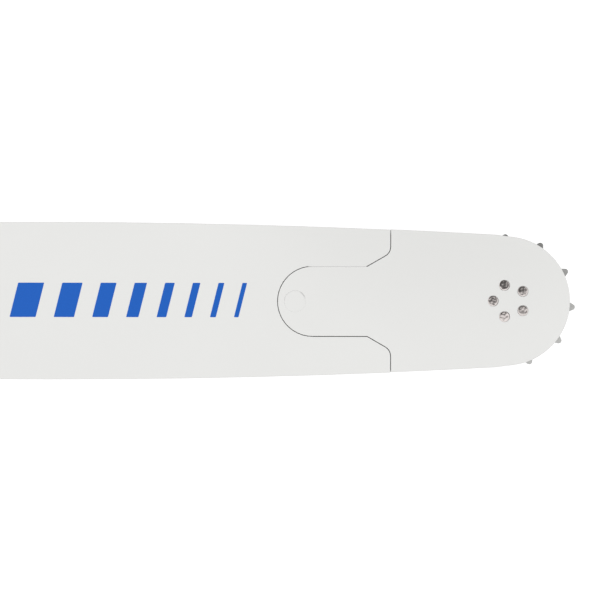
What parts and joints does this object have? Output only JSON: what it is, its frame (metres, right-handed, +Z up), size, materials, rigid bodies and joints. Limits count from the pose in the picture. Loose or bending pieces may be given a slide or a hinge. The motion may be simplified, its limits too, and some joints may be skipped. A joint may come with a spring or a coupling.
{
  "type": "chainsaw guide bar",
  "caption": "Long flat steel bar that carries and guides a saw chain, with a slotted tail, a groove along both edges and a riveted nose holding a turning sprocket.",
  "frame": {"origin": "middle of the stud slot, on the lower face that the bar lies on", "axes": "+X along the bar towards the nose, +Y across the bar, +Z up through its thickness"},
  "size_m": [0.5841, 0.0756, 0.0048],
  "materials": {
    "painted_steel": "semi-gloss white powder coat, worn off on the ground rails",
    "ground_steel": "ground",
    "rivet_steel": "bright, pressed",
    "bearing_steel": "hardened, ground",
    "blue_print": "screen-printed ink"
  },
  "bodies": {
    "bar": {"bar_body": "painted_steel", "nose_plate_upper": "painted_steel", "nose_plate_lower": "painted_steel", "nose_core": "ground_steel", "bearing_hub": "bearing_steel", "hub_rivets": "rivet_steel", "tail_rivet": "painted_steel"},
    "sprocket": {"nose_sprocket": "ground_steel"},
    "rollers": {"roller_01": "bearing_steel", "roller_02": "bearing_steel", "roller_03": "bearing_steel", "roller_04": "bearing_steel", "roller_05": "bearing_steel", "roller_06": "bearing_steel", "roller_07": "bearing_steel", "roller_08": "bearing_steel", "roller_09": "bearing_steel", "roller_10": "bearing_steel", "roller_11": "bearing_steel", "roller_12": "bearing_steel", "roller_13": "bearing_steel", "roller_14": "bearing_steel", "roller_15": "bearing_steel", "roller_16": "bearing_steel", "roller_17": "bearing_steel", "roller_18": "bearing_steel", "roller_19": "bearing_steel", "roller_20": "bearing_steel", "roller_21": "bearing_steel", "roller_22": "bearing_steel", "roller_23": "bearing_steel", "roller_24": "bearing_steel"}
  },
  "joints": [
    {"name": "sprocket_spin", "type": "hinge", "parent": "bar", "child": "sprocket", "pos_m": [0.502, 0.00015, 0.0024], "axis": [0, 0, 1], "continuous": true},
    {"name": "roller_orbit", "type": "hinge", "parent": "bar", "child": "rollers", "pos_m": [0.502, 0.00015, 0.0024], "axis": [0, 0, 1], "continuous": true}
  ],
  "couplings": [
    {"joint": "roller_orbit", "follows": "sprocket_spin", "ratio": 0.56454}
  ]
}
